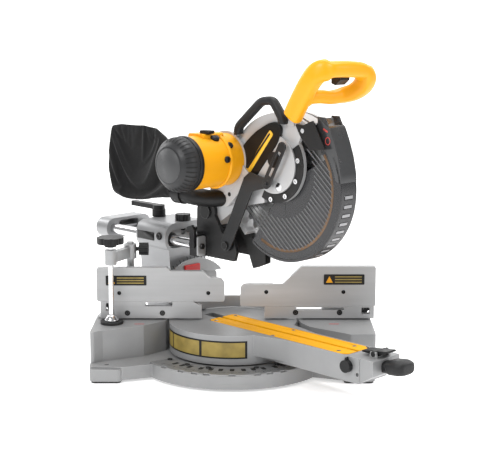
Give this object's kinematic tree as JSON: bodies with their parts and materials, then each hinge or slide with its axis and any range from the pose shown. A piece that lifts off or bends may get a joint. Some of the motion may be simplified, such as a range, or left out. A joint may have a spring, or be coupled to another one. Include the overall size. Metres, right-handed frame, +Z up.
{
  "type": "sliding miter saw",
  "caption": "Sliding compound mitre saw on twin rails with swinging table, tilting head, folding lower guard, work clamp, sliding fences and dust bag.",
  "frame": {"origin": "on the bench, centred between the four bench bolt holes and under the turntable's axis", "axes": "+X to the operator's right along the fence, -Y towards the operator, +Z up"},
  "size_m": [0.584, 0.584, 0.5898],
  "materials": {
    "cast_grey": "cast, painted",
    "table_paint": "satin",
    "fence_paint": "satin",
    "silver_paint": "satin",
    "black_paint": "satin",
    "link_paint": "satin",
    "scale_steel": "brushed",
    "bright_steel": "machined",
    "clamp_steel": "satin",
    "blade_steel": "ground",
    "black_screw": "blackened",
    "black_plastic": "fine texture",
    "yellow_plastic": "moulded",
    "red_plastic": "moulded",
    "rubber_black": "matt",
    "bag_fabric": "woven",
    "smoked_guard": "translucent smoke"
  },
  "bodies": {
    "base": {"base_casting": "cast_grey", "foot_pads": "rubber_black", "miter_scale": "scale_steel", "scale_screws": "black_screw", "fixed_fence": "fence_paint", "fence_screws": "black_screw", "clamp_frame": "clamp_steel"},
    "left_fence": {"sliding_fence_left": "fence_paint"},
    "right_fence": {"sliding_fence_right": "fence_paint"},
    "left_fence_knob": {"fence_knob_left": "black_plastic"},
    "right_fence_knob": {"fence_knob_right": "black_plastic"},
    "work_clamp": {"clamp_screw": "bright_steel", "clamp_knob": "black_plastic"},
    "work_clamp_pad": {"clamp_pad": "rubber_black"},
    "clamp_side_screw": {"clamp_thumb_screw": "black_plastic"},
    "table": {"turntable": "table_paint", "kerf_plate_left": "yellow_plastic", "kerf_plate_right": "yellow_plastic", "kerf_screws": "bright_steel", "bevel_scale": "scale_steel"},
    "miter_lock": {"miter_lock_handle": "black_plastic"},
    "detent": {"detent_latch": "bright_steel"},
    "pointer_knob": {"nose_knob": "black_plastic"},
    "rail_housing": {"bearing_housing": "silver_paint", "rail_bushes": "black_plastic", "bevel_bolt": "bright_steel", "bevel_pointer": "red_plastic"},
    "bevel_clamp": {"bevel_lever": "black_plastic"},
    "rail_knob": {"rail_lock_knob": "black_plastic"},
    "carriage": {"rails": "bright_steel", "rail_end_cap": "clamp_steel", "trunnion": "black_paint", "pivot_pin": "bright_steel", "rail_clamp_plates": "clamp_steel", "carriage_bolts": "black_screw", "link_foot_pin": "black_screw"},
    "hook": {"hold_down_hook": "black_paint"},
    "head": {"head_casting": "silver_paint", "guard_retaining_ring": "black_paint", "head_screws": "bright_steel", "spindle_lock_cap": "black_plastic", "guard_bracket": "black_paint", "carry_handle": "black_plastic", "handle_left": "yellow_plastic", "handle_right": "yellow_plastic", "motor_housing": "yellow_plastic", "motor_cap": "black_plastic", "brush_cap": "black_plastic", "dust_elbow": "black_plastic", "bag_collar": "black_plastic", "dust_bag": "bag_fabric", "dust_chute": "rubber_black"},
    "trigger_lever": {"trigger": "black_plastic"},
    "blade": {"saw_blade": "blade_steel", "arbor_shaft": "bright_steel", "blade_flanges": "bright_steel", "arbor_bolt": "black_screw"},
    "lower_guard_body": {"lower_guard": "smoked_guard"},
    "link": {"guard_link": "link_paint"},
    "guide_lever": {"slotted_lever": "link_paint"}
  },
  "joints": [
    {"name": "miter_swing", "type": "hinge", "parent": "base", "child": "table", "pos_m": [0, 0, 0.089], "axis": [0, 0, -1], "range_deg": [-2, 92]},
    {"name": "bevel_tilt", "type": "hinge", "parent": "table", "child": "rail_housing", "pos_m": [-0.08132, 0.08132, 0.089], "axis": [0.7071, -0.7071, 0], "range_deg": [-30, 8]},
    {"name": "rail_slide", "type": "slide", "parent": "rail_housing", "child": "carriage", "axis": [0.7071, -0.7071, 0], "range_m": [-0.055, 0.085]},
    {"name": "chop", "type": "hinge", "parent": "carriage", "child": "head", "pos_m": [-0.02546, 0.02546, 0.298], "axis": [0.7071, 0.7071, 0], "range_deg": [0, 45]},
    {"name": "blade_spin", "type": "hinge", "parent": "head", "child": "blade", "pos_m": [0.10536, -0.10536, 0.363], "axis": [0.7071, 0.7071, 0], "continuous": true},
    {"name": "guard_swing", "type": "hinge", "parent": "head", "child": "lower_guard_body", "pos_m": [0.10536, -0.10536, 0.363], "axis": [-0.7071, -0.7071, 0], "range_deg": [0, 112]},
    {"name": "link_swing", "type": "hinge", "parent": "carriage", "child": "link", "pos_m": [-0.01202, -0.04455, 0.242], "axis": [0.7071, 0.7071, 0], "range_deg": [0, 57]},
    {"name": "lever_swing", "type": "hinge", "parent": "link", "child": "guide_lever", "pos_m": [0.06435, -0.12091, 0.368], "axis": [0.7071, 0.7071, 0], "range_deg": [-97, 0]},
    {"name": "left_fence_slide", "type": "slide", "parent": "base", "child": "left_fence", "axis": [-1, 0, 0], "range_m": [0, 0.05]},
    {"name": "right_fence_slide", "type": "slide", "parent": "base", "child": "right_fence", "axis": [1, 0, 0], "range_m": [0, 0.05]},
    {"name": "left_fence_lock", "type": "hinge", "parent": "base", "child": "left_fence_knob", "pos_m": [-0.236, 0.033, 0.114], "axis": [0, 1, 0], "range_deg": [0, 180]},
    {"name": "right_fence_lock", "type": "hinge", "parent": "base", "child": "right_fence_knob", "pos_m": [0.252, 0.033, 0.1065], "axis": [0, 1, 0], "range_deg": [0, 180]},
    {"name": "clamp_feed", "type": "slide", "parent": "base", "child": "work_clamp", "axis": [0, 0, -1], "range_m": [-0.035, 0]},
    {"name": "clamp_pad_swivel", "type": "hinge", "parent": "work_clamp", "child": "work_clamp_pad", "pos_m": [-0.228, -0.026, 0.09], "axis": [0, 0, 1], "continuous": true},
    {"name": "clamp_side_turn", "type": "hinge", "parent": "base", "child": "clamp_side_screw", "pos_m": [-0.17, 0.035, 0.22], "axis": [1, 0, 0], "range_deg": [0, 180]},
    {"name": "miter_lock_turn", "type": "hinge", "parent": "table", "child": "miter_lock", "pos_m": [0.28284, -0.28284, 0.074], "axis": [0.7071, -0.7071, 0], "range_deg": [0, 60]},
    {"name": "detent_press", "type": "hinge", "parent": "table", "child": "detent", "pos_m": [0.25456, -0.25456, 0.0964], "axis": [-0.7071, -0.7071, 0], "range_deg": [0, 8], "stiffness_Nm_per_rad": 0.6, "springref_deg": -2.86},
    {"name": "pointer_knob_turn", "type": "hinge", "parent": "table", "child": "pointer_knob", "pos_m": [0.20011, -0.25244, 0.072], "axis": [-0.7071, -0.7071, 0], "range_deg": [-60, 60]},
    {"name": "bevel_lever_turn", "type": "hinge", "parent": "rail_housing", "child": "bevel_clamp", "pos_m": [-0.1492, 0.1492, 0.27], "axis": [0, 0, 1], "range_deg": [-35, 35]},
    {"name": "rail_knob_turn", "type": "hinge", "parent": "rail_housing", "child": "rail_knob", "pos_m": [-0.09899, 0.09899, 0.27], "axis": [0, 0, 1], "range_deg": [0, 180]},
    {"name": "hook_swing", "type": "hinge", "parent": "carriage", "child": "hook", "pos_m": [-0.07566, -0.00495, 0.236], "axis": [-0.7071, -0.7071, 0], "range_deg": [0, 60]},
    {"name": "trigger_pull", "type": "slide", "parent": "head", "child": "trigger_lever", "axis": [0, 0, 1], "range_m": [0, 0.002], "stiffness_N_per_m": 300}
  ],
  "couplings": [
    {"joint": "guard_swing", "follows": "chop", "ratio": 2.4889},
    {"joint": "link_swing", "follows": "chop", "ratio": 1.2667},
    {"joint": "lever_swing", "follows": "chop", "ratio": -2.1556}
  ]
}
